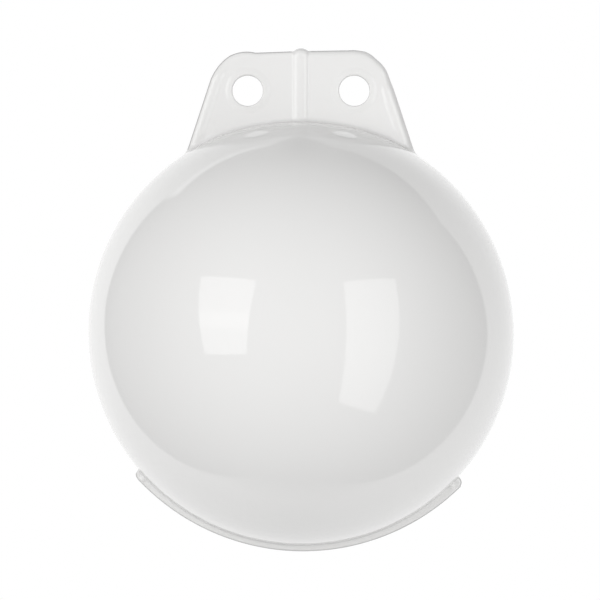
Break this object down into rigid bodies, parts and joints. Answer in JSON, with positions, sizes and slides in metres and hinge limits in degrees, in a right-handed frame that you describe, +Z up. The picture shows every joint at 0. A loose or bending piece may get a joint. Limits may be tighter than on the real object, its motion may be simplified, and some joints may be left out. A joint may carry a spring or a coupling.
{
  "type": "fender buoy",
  "caption": "Hollow blow-moulded ball float with a flat lug on top, pierced by rope eyes, and a low seam fin underneath; it fends off a dock, marks a spot or floats a line.",
  "frame": {"origin": "midway between the centres of the two rope eyes, in the parting plane of the moulding", "axes": "+X from the left eye to the right eye, +Y through the eyes away from the pictured side, +Z up along the blow channel, away from the ball"},
  "size_m": [0.2, 0.2, 0.2365],
  "materials": {
    "white_plastic": "smooth glossy white blow-moulded plastic, slightly milky"
  },
  "bodies": {
    "root": {"buoy_body": "white_plastic"}
  },
  "joints": []
}
